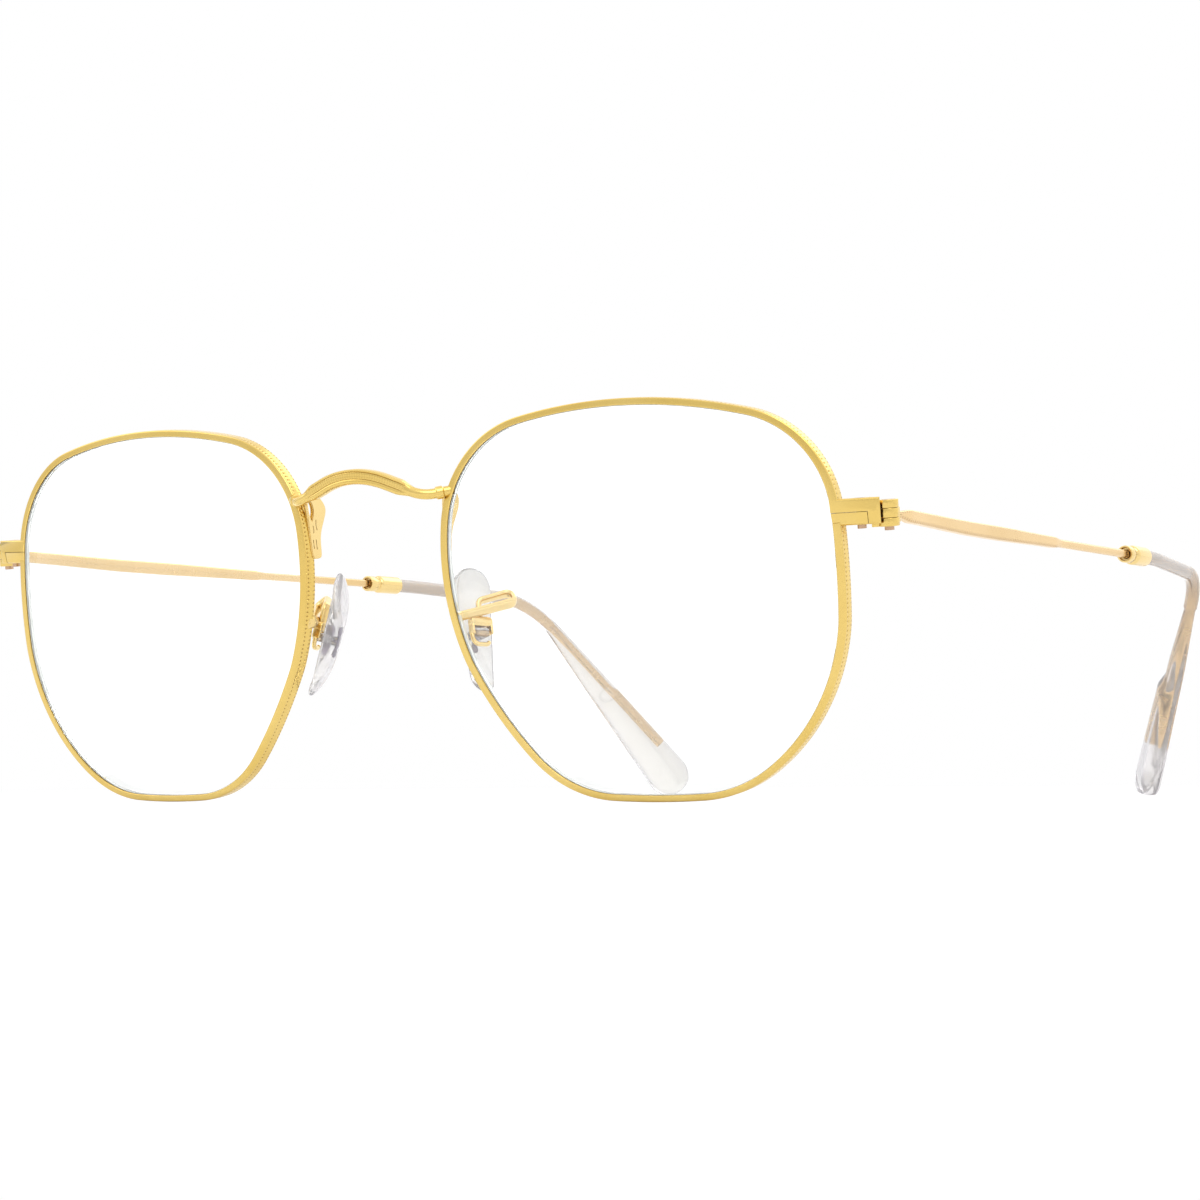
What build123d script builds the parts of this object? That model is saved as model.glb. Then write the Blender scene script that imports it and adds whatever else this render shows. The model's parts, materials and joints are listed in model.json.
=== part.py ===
from build123d import *
import os
from math import atan2, cos, degrees, radians, sin, sqrt

# Eyeglasses with hexagonal rims, millimetres.
# The wearer's left is +X, the ears lie towards +Y, up is +Z.
# Everything is drawn in the front's own frame, whose origin lies midway between
# the lens centres. At the end the glasses are set down on rims and temple tips.

# Lenses and rims
lens_width = 51.0
lens_height = 46.1
bridge_width = 21.3
base_radius = 169.0
face_form = 6.3
lens_setback = 0.2
lens_thickness = 1.8
groove_depth = 0.5
groove_width = 0.7
groove_back = 0.4
bevel_clearance = 0.04
rim_wall = 0.8
rim_depth = 1.5
# Corners of the hexagon, counted from the temple side over the brow, as shares of the
# half width and half height of the opening, then each side's bulge as a share of its
# length and each corner's radius as a share of the mean length of its two sides
corner_shares = [(0.99, -0.15), (0.94, 0.79), (-0.89, 0.85), (-0.90, -0.28), (-0.42, -0.97), (0.39, -0.99)]
bulge_shares = [0.033, 0.090, 0.103, 0.047, 0.023, 0.139]
corner_radius_shares = [0.71, 0.39, 0.37, 0.61, 0.72, 0.72]

# End pieces, closing blocks and hinges
hinge_out = 4.45
hinge_back = 7.9
hinge_height = 8.5
end_piece_slope = 15.0
end_piece_lift = 0.4
end_piece_height = 3.0
end_piece_proud = 0.15
end_piece_back = 1.6
end_piece_ridge = 0.2
end_piece_bevel = 0.15
end_piece_short = 0.2
end_piece_round = 1.2
closing_block_short = 1.95
block_gap = 0.06
knuckle_radius = 1.2
knuckle_gap = 0.03
middle_knuckle_height = 1.06
notch_gap = 0.3
leaf_reach = 1.85
leaf_thickness = 0.7
hinge_screw_radius = 0.55
hinge_clearance = 0.05
fixed_clearance = 0.03
screw_head_radius = 0.8
screw_head_height = 0.35
screw_slot = 0.2
screw_tip = 0.45
rim_screw_radius = 0.52
rim_screw_short = 2.95
rim_screw_back = 0.85
rim_screw_head_radius = 0.62

# Bridge and its braced feet
bridge_wire = 1.25
bridge_height = 14.1
bridge_shoulder_out = 9.3
bridge_shoulder_front = 2.2
bridge_shoulder_drop = 0.5
bridge_peak_front = 3.3
bridge_peak_rise = 3.2
bridge_shoulder_radius = 3.5
bridge_peak_radius = 12.0
bridge_band_height = 1.85
bridge_band_thickness = 1.15
bridge_band_reach = 7.8
bridge_ridge = 0.12
bridge_collar_place = 1.8
bridge_collar_length = 1.0
bridge_collar_radius = 0.78
foot_thickness = 0.8
foot_lean = -4.0
foot_bite = 0.25
foot_round = 0.3
foot_front = 0.75
foot_bottom = 6.55
foot_tab_back = 3.2
foot_tab_height = 1.8
foot_waist_back = 3.0
foot_waist_height = 9.6
foot_lobe_back = 4.15
foot_lobe_height = 12.1
foot_top = 14.0
foot_hole_back = 1.75
foot_hole_height = 12.3
foot_hole_width = 1.0
foot_hole_length = 2.2

# Nose pads, their inserts and their hairpin arms
pad_out = 10.47
pad_back = 4.58
pad_drop = 3.37
pad_splay = 19.5
pad_lean = 16.6
pad_turn = -9.5
pad_length = 15.5
pad_top_radius = 2.75
pad_bottom_radius = 1.8
pad_thickness = 1.3
pad_curve = 22.0
pad_edge = 0.5
stem_height = 1.1
stem_width = 1.9
stem_reach = 2.75
stem_drop = 0.5
core_width = 2.2
core_height = 5.0
core_thickness = 0.4
core_pin_radius = 0.55
core_clearance = 0.02
pad_pin_radius = 0.28
pad_pin_clearance = 0.05
box_wall = 0.35
box_gap = 0.15
box_depth = 1.0
box_height = 1.2
claw_radius = 0.28
claw_drop = 1.9
ribbon_height = 1.35
ribbon_thickness = 0.5
ribbon_knee_radius = 0.7
ribbon_hairpin_radius = 0.6
ribbon_loop = 1.45
ribbon_far_out = 15.2
ribbon_far_back = 7.55
ribbon_root_bite = 0.1
ribbon_root_back = 1.5
ribbon_lift = 3.4
ribbon_foot_length = 1.7
ribbon_foot_height = 1.8
ribbon_foot_thickness = 0.8
strip_front = 1.9

# Temples
arm_inward = 4.2
arm_droop = 8.05
arm_offset_down = 0.35
arm_start = 2.2
arm_point_end = 6.0
arm_mid = 28.0
arm_flat_end = 47.0
arm_neck = 2.0
arm_point_height = 0.85
arm_front_height = 1.45
arm_mid_height = 1.65
arm_end_height = 1.35
arm_thickness = 1.15
arm_bevel_share = 0.27
tongue_thickness = 0.85
heel_gap = 0.35
wire_radius = 0.53
ferrule_start = 71.2
ferrule_length = 6.8
ferrule_radius = 1.25
ferrule_ring_radius = 1.1
ferrule_ring_length = 1.5
ferrule_neck_radius = 0.85
ferrule_neck_length = 0.5
ferrule_round = 0.5
ferrule_mouth_radius = 0.85
ferrule_mouth_depth = 0.5
bend_in = 2.7
bend_back = 105.1
bend_down = 1.0
bend_radius = 13.0
ferrule_bend_radius = 40.0
tip_end_in = 18.95
tip_end_back = 125.7
tip_end_down = 28.2
tip_radius = 0.95
tip_clearance = 0.04
tip_lead = 3.5
paddle_start = 5.5
paddle_neck_radius = 1.0
paddle_shift = 2.1
paddle_radius = 3.2
paddle_edge = 0.85
paddle_turn = 152.4
cheek_start = 16.0
cheek_thickness = 1.8
core_short = 7.5
core_flat_length = 13.0
core_flat_width = 1.1
core_flat_thickness = 1.4

overrun = 4.0
settle_steps = 4


# Frames of the two lenses, the hinge, the pad and the temple on the wearer's left

lens_centre_out = (lens_width + bridge_width) / 2
lens_frame = Pos(lens_centre_out, 0, 0) * Rot(0, 0, face_form)
opening_half_width = lens_width / 2 - groove_depth
opening_half_height = lens_height / 2 - groove_depth
hinge_x = lens_centre_out + lens_width / 2 + hinge_out
hinge_frame = Pos(hinge_x, hinge_back, hinge_height)
arm_frame = hinge_frame * Pos(0, 0, -arm_offset_down) * Rot(0, 0, arm_inward) * Rot(-arm_droop, 0, 0)
# Pad frame: x across the pad towards the ear, y up the pad, z from the nose to the arm
pad_frame = Location(Plane(
    origin=(pad_out, pad_back, -pad_drop),
    x_dir=(sin(radians(pad_splay)), cos(radians(pad_splay)), 0),
    z_dir=(cos(radians(pad_splay)), -sin(radians(pad_splay)), 0),
)) * Rot(-pad_lean, 0, 0) * Rot(0, 0, pad_turn)


def side_circle(start, end, bulge_share):
    """Centre and radius of a side that bows out by a share of its length."""
    chord = end - start
    bulge = bulge_share * chord.length
    radius = chord.length ** 2 / (8 * bulge) + bulge / 2
    inward = Vector(-chord.Y, chord.X).normalized()
    return (start + end) / 2 + inward * (radius - bulge), radius


def corner_circle(before, after, radius, corner):
    """Centre and radius of the rounding between two sides, the radius negative in a hollow corner."""
    hollow = (corner - before[0]).cross(corner - after[0]).Z < 0
    signed = -radius if hollow else radius
    reach_before = before[1] - signed
    reach_after = after[1] - signed
    between = after[0] - before[0]
    along = (reach_before ** 2 - reach_after ** 2) / (2 * between.length) + between.length / 2
    across = sqrt(reach_before ** 2 - along ** 2)
    forward = between.normalized()
    sideways = Vector(-forward.Y, forward.X) * across
    foot = before[0] + forward * along
    return min((foot + sideways, foot - sideways), key=lambda point: (point - corner).length), signed


def opening_arcs():
    """Arcs of the bowed hexagon, each as centre, radius and its two end directions."""
    corners = [Vector(x * opening_half_width, y * opening_half_height) for x, y in corner_shares]
    ends = corners[1:] + corners[:1]
    sides = [side_circle(*side) for side in zip(corners, ends, bulge_shares)]
    lengths = [(end - corner).length for corner, end in zip(corners, ends)]
    roundings = []
    for place, share in enumerate(corner_radius_shares):
        radius = share * (lengths[place - 1] + lengths[place]) / 2
        roundings.append(corner_circle(sides[place - 1], sides[place], radius, corners[place]))
    arcs = []
    for place, side in enumerate(sides):
        centre, radius = roundings[place]
        following = roundings[(place + 1) % len(sides)][0]
        to_side = (centre - side[0]).normalized()
        arcs.append((centre, radius, (centre - sides[place - 1][0]).normalized(), to_side))
        arcs.append((*side, to_side, (following - side[0]).normalized()))
    return arcs


outline_arcs = opening_arcs()


def lens_prism(grow):
    """Straight prism through the lens outline, wider than the opening by grow all round."""
    edges = []
    for centre, radius, first, last in outline_arcs:
        middle = (first + last).normalized()
        reach = radius + grow
        edges.append(ThreePointArc(centre + first * reach, centre + middle * reach, centre + last * reach))
    return extrude(Plane.XZ * make_face(edges), amount=lens_width, both=True)


def opening_edge(height, side):
    """Point of the opening's edge at a height, on the temple's (1) or the nose's side (-1)."""
    for centre, radius, first, last in outline_arcs:
        ends = sorted(centre.Y + radius * direction.Y for direction in (first, last))
        if side * first.X > 0 and side * last.X > 0 and ends[0] <= height <= ends[1]:
            across = centre.X + side * sqrt(radius ** 2 - (height - centre.Y) ** 2)
    sag = base_radius - sqrt(base_radius ** 2 - across ** 2 - height ** 2)
    return (lens_frame * Pos(across, sag, height)).position


def curved_layer(front, back):
    """Layer between two depths behind the front surface of the base curve."""
    shell = Sphere(base_radius - front) - Sphere(base_radius - back)
    return Pos(0, base_radius, 0) * shell


bar_height = hinge_height + end_piece_lift


def groove():
    return lens_prism(groove_depth) & curved_layer(groove_back, groove_back + groove_width)


def rim():
    """Grooved ring, open where the end piece and its closing block take its place."""
    body = (lens_prism(rim_wall) - lens_prism(0)) & curved_layer(0, rim_depth)
    room = Pos(lens_width / 2, 0, bar_height) * Box(lens_width / 2, lens_width, end_piece_height)
    return lens_frame * (body - groove() - room)


def lens():
    plate = lens_prism(-bevel_clearance) & curved_layer(lens_setback, lens_setback + lens_thickness)
    front = groove_back + bevel_clearance
    back = groove_back + groove_width - bevel_clearance
    bevel = lens_prism(groove_depth - bevel_clearance) & curved_layer(front, back)
    return lens_frame * (plate + bevel)


rim_cutter = lens_frame * lens_prism(rim_wall)


def lensed_rim_room():
    """Space that the rim and its lens fill, for pieces soldered to the rim's outer wall."""
    lens_back = lens_setback + lens_thickness + bevel_clearance
    ring = lens_prism(rim_wall) & curved_layer(0, rim_depth)
    return lens_frame * (ring + (lens_prism(0) & curved_layer(lens_setback, lens_back)))


half_block = end_piece_height / 2
bar_frame = Location(opening_edge(bar_height, 1)) * Rot(0, 0, end_piece_slope)
hinge_local = (bar_frame.inverse() * hinge_frame).position
leaf_frame = hinge_frame * Rot(0, 0, end_piece_slope)
leaf_back = end_piece_back - hinge_local.Y
closing_end = hinge_local.X - closing_block_short


def end_bar():
    """Bar from the opening's edge to the hinge: a ridged front face that rounds off backwards."""
    ridge = end_piece_ridge - end_piece_proud
    section = make_face(Polyline(
        (end_piece_back, -half_block),
        (ridge + end_piece_bevel, -half_block),
        (ridge, end_piece_bevel - half_block),
        (-end_piece_proud, 0),
        (ridge, half_block - end_piece_bevel),
        (ridge + end_piece_bevel, half_block),
        (end_piece_back, half_block),
        close=True,
    ))
    end = hinge_local.X - end_piece_short
    bar = Pos(-overrun, 0, 0) * extrude(Plane.YZ * section, amount=end + overrun)
    plan = make_face(FilletPolyline(
        (-overrun, -end_piece_proud),
        (end, -end_piece_proud),
        (end, end_piece_back + overrun),
        radius=end_piece_round,
    ) + Polyline(
        (end, end_piece_back + overrun),
        (-overrun, end_piece_back + overrun),
        (-overrun, -end_piece_proud),
    ))
    return bar & extrude(plan, amount=end_piece_height, both=True)


def lower_half(end):
    """Room below the closing block's upper face, from the lens out to a place along the bar."""
    length = end + overrun
    return Pos(end - length / 2, 0, -half_block) * Box(length, 4 * end_piece_back, end_piece_height)


def screw(shank_radius, head_radius, top, bottom):
    """Slotted screw along Z, with its head's top face at top and its end at bottom."""
    head = Pos(0, 0, top - screw_head_height / 2) * Cylinder(head_radius, screw_head_height)
    shank = Pos(0, 0, (top + bottom) / 2) * Cylinder(shank_radius, top - bottom)
    slot = Pos(0, 0, top) * Box(2 * head_radius, screw_slot, screw_slot)
    return head + shank - slot


rim_screw_frame = bar_frame * Pos(hinge_local.X - rim_screw_short, rim_screw_back, 0)
hinge_screw_bottom = -half_block - screw_tip


def screw_hole(shank_radius, head_radius, clearance):
    """Clearance hole for a screw whose head lies flush with the block's top."""
    head_height = 2 * screw_head_height
    head = Pos(0, 0, half_block) * Cylinder(head_radius + clearance, head_height + 2 * clearance)
    shank = Cylinder(shank_radius + clearance, end_piece_height + 2 * overrun)
    return head + shank


rim_screw_hole = rim_screw_frame * screw_hole(rim_screw_radius, rim_screw_head_radius, fixed_clearance)


def lens_room():
    return lens_frame * (lens_prism(0) + groove())


def end_piece():
    """Upper half of the bar, and its whole height next to the hinge."""
    leaf_room = Pos(-leaf_reach / 2, leaf_back + overrun / 2 - leaf_thickness, 0)
    leaf_room *= Box(leaf_reach + 2 * fixed_clearance, overrun + 2 * fixed_clearance, 2 * end_piece_height)
    leaf_room += Cylinder(knuckle_radius + notch_gap, 2 * end_piece_height)
    body = bar_frame * (end_bar() - lower_half(closing_end))
    return body - leaf_frame * leaf_room - lens_room() - rim_screw_hole


def closing_block():
    upper_half = Pos(0, 0, half_block - block_gap) * Box(4 * overrun, 4 * end_piece_back, end_piece_height)
    body = bar_frame * ((end_bar() & lower_half(closing_end - block_gap)) - upper_half)
    return body - lens_room() - rim_screw_hole


def rim_screw():
    return rim_screw_frame * screw(
        rim_screw_radius, rim_screw_head_radius, half_block, -half_block - screw_tip)


def front_hinge():
    """Leaf let into the back of the end piece, with the upper and the lower knuckle."""
    leaf = Pos(-leaf_reach / 2, leaf_back - leaf_thickness / 2, 0)
    body = leaf * Box(leaf_reach, leaf_thickness, end_piece_height)
    body += Cylinder(knuckle_radius, end_piece_height)
    body -= Cylinder(knuckle_radius + notch_gap, middle_knuckle_height + 2 * knuckle_gap)
    return leaf_frame * (body - screw_hole(hinge_screw_radius, screw_head_radius, fixed_clearance))


def hinge_screw():
    return hinge_frame * screw(hinge_screw_radius, screw_head_radius, half_block, hinge_screw_bottom)


def bridge_path():
    root = opening_edge(bridge_height, -1) + Vector(-rim_wall / 2, rim_depth / 2, 0)
    shoulder_height = bridge_height - bridge_shoulder_drop
    peak = (0, -bridge_peak_front, bridge_height + bridge_peak_rise)
    shoulder = (bridge_shoulder_out, -bridge_shoulder_front, shoulder_height)
    points = [
        root, shoulder, peak,
        (-bridge_shoulder_out, -bridge_shoulder_front, shoulder_height),
        (-root.X, root.Y, root.Z),
    ]
    radii = [bridge_shoulder_radius, bridge_peak_radius, bridge_shoulder_radius]
    return FilletPolyline(*points, radius=radii)


def bridge():
    """Round wire, flattened and ridged over its arch, with a collar at each end."""
    path = bridge_path()
    start = Plane(origin=path @ 0, z_dir=path % 0)
    wire = sweep(start * Circle(bridge_wire / 2), path=path)
    peak = path @ 0.5
    ridge_height = bridge_band_height / 4
    band_face = RectangleRounded(bridge_band_thickness, bridge_band_height, bridge_wire / 4)
    for side in (-1, 1):
        ridge = Rectangle(bridge_band_thickness + 2 * bridge_ridge, ridge_height)
        band_face += Pos(0, side * (bridge_band_height - ridge_height) / 2) * ridge
    middle = Plane(origin=peak, x_dir=(0, 1, 0), z_dir=path % 0.5)
    band = sweep(middle * band_face, path=path)
    keep = Box(2 * bridge_band_reach, lens_width, lens_width)
    body = wire + (band & keep)
    for share in (bridge_collar_place / path.length, 1 - bridge_collar_place / path.length):
        seat = Location(Plane(origin=path @ share, z_dir=path % share))
        body += seat * Cylinder(bridge_collar_radius, bridge_collar_length)
    return body - lensed_rim_room() - mirror(lensed_rim_room(), about=Plane.YZ)


def bridge_foot():
    """Stamped brace behind the rim beside the bridge: prong, lobe, waist and tab."""
    outline = make_face(Polyline(
        (foot_front, foot_bottom),
        (foot_tab_back, foot_bottom),
        (foot_tab_back, foot_bottom + foot_tab_height),
        (foot_waist_back, foot_waist_height),
        (foot_lobe_back, foot_lobe_height),
        (foot_tab_back, foot_top),
        (foot_front, foot_top + foot_thickness / 2),
        close=True,
    ))
    outline = fillet(outline.vertices(), foot_round)
    hole = Rot(0, 0, 90) * SlotOverall(foot_hole_length, foot_hole_width)
    outline -= Pos(foot_hole_back, foot_hole_height) * hole
    plate = extrude(Plane.YZ * outline, amount=foot_thickness / 2, both=True)
    middle = (foot_bottom + foot_top) / 2
    out = opening_edge(middle, -1).X - rim_wall + foot_bite - foot_thickness / 2
    lean = Pos(out, 0, middle) * Rot(0, foot_lean, 0) * Pos(0, 0, -middle)
    return lean * plate - rim_cutter


pin_depth = strip_front + ribbon_thickness / 2
stem_top = stem_height / 2 - stem_drop
cheek_out = stem_width / 2 + box_gap + box_wall / 2


def pad_core(grow):
    """Metal insert in the pad: a plate and a lug in the stem."""
    plate = Box(core_width + 2 * grow, core_height + 2 * grow, core_thickness + 2 * grow)
    lug_length = pin_depth - core_pin_radius
    lug = Pos(0, -stem_drop, lug_length / 2)
    lug_height = stem_height / 2
    plate += lug * Box(stem_width / 2 + 2 * grow, lug_height + 2 * grow, lug_length + 2 * grow)
    return pad_frame * plate


def nose_pad():
    top = Pos(0, pad_length / 2 - pad_top_radius) * Circle(pad_top_radius)
    bottom = Pos(0, pad_bottom_radius - pad_length / 2) * Circle(pad_bottom_radius)
    prism = extrude(make_hull((top + bottom).edges()), amount=pad_length, both=True)
    shell = Sphere(pad_curve + pad_thickness / 2) - Sphere(pad_curve - pad_thickness / 2)
    blank = prism & (Pos(0, 0, pad_curve) * shell)
    blank = fillet(blank.edges(), pad_edge)
    stem = Pos(0, -stem_drop, stem_reach / 2) * Box(stem_width, stem_height, stem_reach)
    hole = Pos(0, -stem_drop, pin_depth) * Rot(0, 90, 0)
    hole *= Cylinder(pad_pin_radius + pad_pin_clearance, 2 * stem_width)
    return pad_frame * (blank + stem - hole) - pad_core(core_clearance)


def pad_arm():
    """Ribbon bent back in a hairpin, down to a box whose pin holds the pad's stem."""
    strip_top = pad_frame * Pos(0, ribbon_lift, pin_depth)
    root_height = ribbon_lift - pad_drop - ribbon_height
    root_out = opening_edge(root_height, -1).X - rim_wall + ribbon_root_bite
    knee = Vector(root_out, ribbon_root_back, root_height)
    far = Vector(ribbon_far_out, ribbon_far_back, strip_top.position.Z)
    end = strip_top.position
    ribbon_plane = Plane(origin=knee, x_dir=far - knee, z_dir=(far - knee).cross(end - knee))
    root_local = ribbon_plane.to_local_coords(knee - Vector(0, ribbon_foot_length, 0))
    end_local = ribbon_plane.to_local_coords(end)
    length = (far - knee).length
    path = FilletPolyline(
        (root_local.X, root_local.Y),
        (0, 0),
        (length, 0),
        (length, ribbon_loop),
        (end_local.X, end_local.Y),
        radius=[ribbon_knee_radius, ribbon_hairpin_radius, ribbon_hairpin_radius],
    )
    ribbon = extrude(trace(path, ribbon_thickness), amount=ribbon_height / 2, both=True)
    foot = Box(ribbon_foot_thickness, ribbon_foot_length, ribbon_foot_height)
    inset = (ribbon_thickness - ribbon_foot_thickness) / 2
    arm = ribbon_plane * ribbon + Pos(knee + Vector(inset, -ribbon_foot_length / 2, 0)) * foot
    strip_length = ribbon_lift + ribbon_height / 2 - stem_top - box_gap
    strip = Pos(0, stem_top + box_gap + strip_length / 2, pin_depth)
    holder = strip * Box(2 * ribbon_thickness, strip_length, ribbon_thickness)
    roof = Pos(0, stem_top + box_gap + box_height / 2, pin_depth)
    holder += roof * Box(2 * cheek_out + box_wall, box_height, box_depth)
    cheek_length = stem_height + box_gap + box_wall
    for side in (-1, 1):
        cheek = Pos(side * cheek_out, stem_top + box_gap - cheek_length / 2, pin_depth)
        holder += cheek * Box(box_wall, cheek_length, box_depth)
    pin = Pos(0, -stem_drop, pin_depth) * Rot(0, 90, 0)
    holder += pin * Cylinder(pad_pin_radius, 2 * cheek_out)
    hook = FilletPolyline(
        (-cheek_out, -stem_drop, pin_depth),
        (-cheek_out, -claw_drop, pin_depth),
        (cheek_out - box_wall, -claw_drop, pin_depth),
        radius=3 * claw_radius,
    )
    start = Plane(origin=hook @ 0, z_dir=hook % 0)
    holder += sweep(start * Circle(claw_radius), path=hook)
    return arm + pad_frame * holder - lensed_rim_room()


def octagon(y, thickness, height):
    """Milled section of the temple, square to its length at y."""
    side = arm_bevel_share * thickness
    x, z = thickness / 2, height / 2
    face = make_face(Polyline(
        (x, z - side), (x - side, z), (side - x, z), (-x, z - side),
        (-x, side - z), (side - x, -z), (x - side, -z), (x, side - z),
        close=True,
    ))
    return Plane(origin=(0, y, 0), x_dir=(1, 0, 0), z_dir=(0, 1, 0)) * face


def along_arm(radius, start, end):
    return Pos(0, (start + end) / 2, 0) * Rot(90, 0, 0) * Cylinder(radius, end - start)


ferrule_end = ferrule_start + ferrule_length
bend_corner = Vector(-bend_in, bend_back, -bend_down)
tip_end = Vector(-tip_end_in, tip_end_back, -tip_end_down)
drop = (tip_end - bend_corner).normalized()
tip_frame = Location(Plane(origin=bend_corner, x_dir=Vector(1, 0, 0).cross(drop), z_dir=drop))
tip_frame *= Rot(0, 0, paddle_turn)
drop_length = (tip_end - bend_corner).length
core_end = drop_length - core_short


def temple_wire(radius, start, end):
    """Round wire from start on the straight temple, round the ear bend, to end below it."""
    path = FilletPolyline(
        (0, start, 0),
        (0, ferrule_end + tip_lead, 0),
        bend_corner,
        bend_corner + drop * end,
        radius=[ferrule_bend_radius, bend_radius],
    )
    face = Plane(origin=path @ 0, z_dir=path % 0) * Circle(radius)
    return sweep(face, path=path)


def core_blade(grow):
    """End of the wire, beaten flat inside the tip."""
    start = core_end - core_flat_length
    wire = Circle(wire_radius + grow)
    flat = Ellipse(core_flat_width / 2 + grow, core_flat_thickness / 2 + grow)
    blade = loft([
        Pos(0, 0, start) * wire,
        Pos(0, 0, core_end - core_flat_length / 4) * flat,
        Pos(0, 0, core_end + grow) * flat,
    ])
    return tip_frame * blade


def temple_core(start, grow):
    straight_end = core_end - core_flat_length
    return temple_wire(wire_radius + grow, start, straight_end) + core_blade(grow)


def temple_arm():
    neck_end = arm_flat_end + arm_neck
    bar = loft([
        octagon(arm_start / 2, arm_thickness / 2, arm_point_height),
        octagon(arm_point_end, arm_thickness, arm_front_height),
        octagon(arm_mid, arm_thickness, arm_mid_height),
        octagon(arm_flat_end, arm_thickness, arm_end_height),
        octagon(neck_end, 2 * wire_radius, 2 * wire_radius),
    ], ruled=True)
    bar += temple_core(arm_flat_end, 0)
    tongue_room = Box(2 * arm_start, 2 * arm_start, 2 * end_piece_height)
    return arm_frame * bar - hinge_frame * Rot(0, 0, arm_inward) * tongue_room


def temple_hinge():
    """Middle knuckle with a tongue and a heel that carry the temple."""
    body = Cylinder(knuckle_radius, middle_knuckle_height)
    body += Pos(0, arm_start / 2, 0) * Box(tongue_thickness, arm_start, middle_knuckle_height)
    heel_start = knuckle_radius + heel_gap
    heel_height = middle_knuckle_height / 2 + arm_offset_down + arm_point_height
    heel = Pos(0, (heel_start + arm_start) / 2, (middle_knuckle_height - heel_height) / 2)
    body += heel * Box(tongue_thickness, arm_start - heel_start, heel_height)
    bore = Cylinder(hinge_screw_radius + hinge_clearance, 2 * middle_knuckle_height)
    return hinge_frame * Rot(0, 0, arm_inward) * (body - bore)


def ferrule():
    """Turned sleeve in front of the tip: mouth ring, neck and round-shouldered barrel."""
    ring_end = ferrule_start + ferrule_ring_length
    neck_end = ring_end + ferrule_neck_length
    barrel = along_arm(ferrule_radius, neck_end, ferrule_end)
    barrel = fillet(barrel.edges().filter_by(GeomType.CIRCLE), ferrule_round)
    body = barrel + along_arm(ferrule_ring_radius, ferrule_start, ring_end)
    body += along_arm(ferrule_neck_radius, ferrule_start, neck_end + ferrule_round)
    body -= along_arm(ferrule_mouth_radius, ferrule_start - overrun, ferrule_start + ferrule_mouth_depth)
    body -= along_arm(wire_radius + core_clearance, ferrule_start - overrun, ferrule_end + overrun)
    return arm_frame * body


def paddle_outline():
    start = Pos(0, paddle_start) * Circle(paddle_neck_radius)
    end = Pos(paddle_shift, drop_length - paddle_radius) * Circle(paddle_radius)
    return make_hull((start + end).edges())


def temple_tip():
    """Clear tube round the wire, bent over the ear, that widens to a paddle with a thicker cheek."""
    tube = temple_wire(tip_radius, ferrule_end, paddle_start + paddle_radius)
    paddle = extrude(paddle_outline(), amount=paddle_neck_radius, both=True)
    paddle = fillet(paddle.faces().filter_by(Axis.Z).edges(), paddle_edge)
    reach = 2 * drop_length
    cheek = paddle_outline() & Pos(0, cheek_start + reach / 2) * Rectangle(reach, reach)
    cheek = Pos(0, 0, -cheek_thickness) * extrude(cheek, amount=cheek_thickness)
    cheek = fillet(cheek.faces().sort_by(Axis.Z)[0].edges(), paddle_edge)
    body = tube + tip_frame * Rot(90, 0, 0) * (paddle + cheek)
    return arm_frame * (body - temple_core(ferrule_start, tip_clearance))


def as_solid(piece):
    """The piece's one solid, free of the groups that its making left round it."""
    return piece.solids()[0]


def lowest(shape, lean):
    return (Rot(lean, 0, 0) * shape).bounding_box().min.Z


def settled_lean(front, temple):
    """Angle about X at which the rims and the temple tips share one level."""
    reach = temple.bounding_box().max.Y
    lean = 0.0
    for _ in range(settle_steps):
        gap = lowest(front, lean) - lowest(temple, lean)
        lean += degrees(atan2(gap, reach))
    return lean


def millimetres(point):
    return [round(value, 3) for value in (point.X, point.Y, point.Z)]


def main():
    os.makedirs("parts", exist_ok=True)
    left = {
        "rim": rim(),
        "lens": lens(),
        "end_piece": end_piece(),
        "closing_block": closing_block(),
        "rim_screw": rim_screw(),
        "front_hinge": front_hinge(),
        "hinge_screw": hinge_screw(),
        "bridge_foot": bridge_foot(),
        "pad_arm": pad_arm(),
        "nose_pad": nose_pad(),
        "pad_core": pad_core(0),
        "temple_hinge": temple_hinge(),
        "temple_arm": temple_arm(),
        "ferrule": ferrule(),
        "temple_tip": temple_tip(),
    }
    pieces = {}
    for name, piece in left.items():
        solid = as_solid(piece)
        pieces[name + "_left"] = solid
        pieces[name + "_right"] = mirror(solid, about=Plane.YZ)
    pieces["bridge"] = as_solid(bridge())
    lean = settled_lean(left["rim"], left["temple_tip"])
    boxes = [(Rot(lean, 0, 0) * piece).bounding_box() for piece in pieces.values()]
    middle = (min(box.min.Y for box in boxes) + max(box.max.Y for box in boxes)) / 2
    floor = min(box.min.Z for box in boxes)
    stand = Pos(0, -middle, -floor) * Rot(lean, 0, 0)
    for name, piece in pieces.items():
        export_step(stand * piece, os.path.join("parts", name + ".step"))
    print("lean", round(lean, 3), "shift", round(-middle, 3), round(-floor, 3))
    for name, frame in (("hinge", hinge_frame), ("pad pin", pad_frame * Pos(0, -stem_drop, pin_depth))):
        placed = stand * frame
        print(name, millimetres(placed.position))
        for axis in (Vector(1, 0, 0), Vector(0, 1, 0), Vector(0, 0, 1)):
            tip = stand * frame * Pos(axis)
            print("  axis", millimetres(tip.position - placed.position))


main()
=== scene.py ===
import json
from math import atan2, ceil, cos, pi, radians, sin, sqrt, tan

import bmesh
import bpy
from mathutils import Matrix, Vector


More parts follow.
